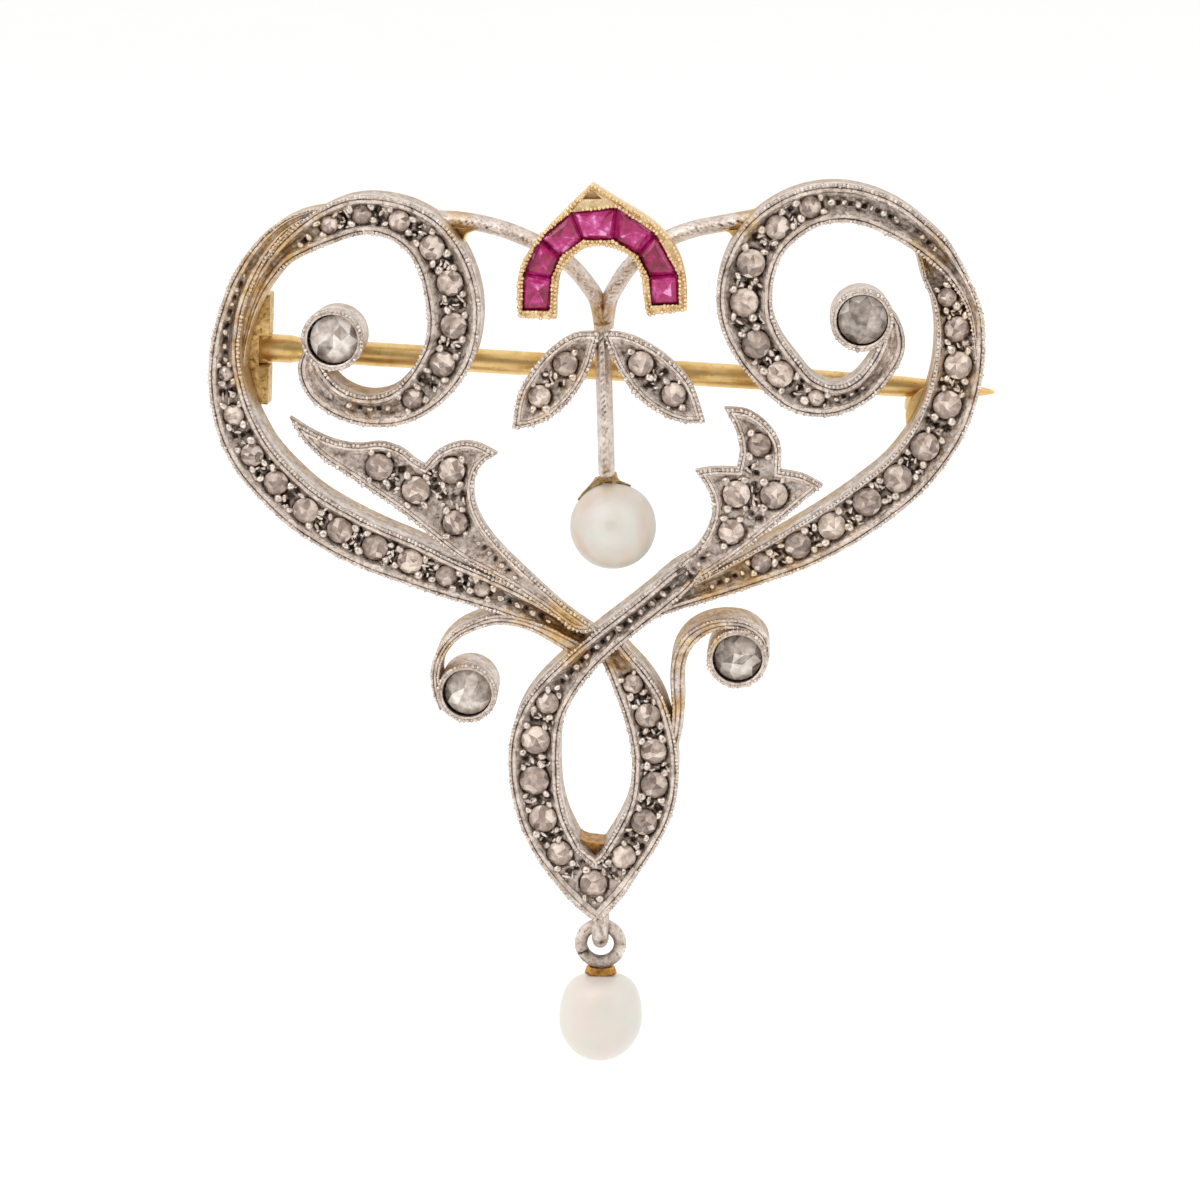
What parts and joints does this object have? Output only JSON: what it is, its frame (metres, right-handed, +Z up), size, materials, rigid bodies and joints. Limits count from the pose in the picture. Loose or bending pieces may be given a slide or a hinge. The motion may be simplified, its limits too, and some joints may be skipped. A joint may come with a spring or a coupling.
{
  "type": "pin brooch",
  "caption": "Bow brooch of curled stone-set ribbons with a ruby arch, a fixed pearl, a pearl drop on a jump ring and a hinged pin stem with an open catch.",
  "frame": {"origin": "on the centreline of the pin stem, behind the middle of the bow, where the brooch is pinned on", "axes": "+Z up as worn, the face looks to -Y, +X to the viewer's right along the pin stem"},
  "size_m": [0.039, 0.0056, 0.046],
  "materials": {
    "white_metal": "aged platinum topping with milled edges, grey with a warm tarnish",
    "yellow_gold": "soft polished yellow gold",
    "pearl": "cream with a rose and green lustre",
    "large_rose_cut": "grey clear rose cut diamond",
    "small_rose_cut": "champagne grey rose cut diamond",
    "ruby": "pinkish red step cut ruby"
  },
  "bodies": {
    "brooch": {"frame": "white_metal", "ruby_setting": "yellow_gold", "hinge": "yellow_gold", "catch": "yellow_gold", "pearl_cap": "yellow_gold", "upper_pearl": "pearl", "collet_stone_1": "large_rose_cut", "collet_stone_2": "large_rose_cut", "collet_stone_3": "large_rose_cut", "collet_stone_4": "large_rose_cut", "ruby_1": "ruby", "ruby_2": "ruby", "ruby_3": "ruby", "ruby_4": "ruby", "ruby_5": "ruby", "ruby_6": "ruby", "ruby_7": "ruby", "left_ring_stones": "small_rose_cut", "left_ribbon_stones": "small_rose_cut", "left_sprig_stones": "small_rose_cut", "right_ring_stones": "small_rose_cut", "right_ribbon_stones": "small_rose_cut", "right_sprig_stones": "small_rose_cut", "leaf_stones": "small_rose_cut", "loop_stones": "small_rose_cut"},
    "pin_stem": {"pin": "yellow_gold"},
    "ring": {"jump_ring": "white_metal"},
    "drop": {"drop_cap": "yellow_gold", "drop_pearl": "pearl"}
  },
  "joints": [
    {"name": "pin_hinge", "type": "hinge", "parent": "brooch", "child": "pin_stem", "pos_m": [-0.01723, 0, 0.00092], "axis": [0.0532, 0, 0.9986], "range_deg": [0, 100]},
    {"name": "drop_swing", "type": "hinge", "parent": "brooch", "child": "ring", "pos_m": [-0.00003, -0.0024, -0.0289], "axis": [1, 0, 0], "range_deg": [-60, 60]},
    {"name": "drop_sway", "type": "hinge", "parent": "ring", "child": "drop", "pos_m": [-0.00003, -0.0024, -0.02992], "axis": [0, 1, 0], "range_deg": [-60, 60]}
  ]
}
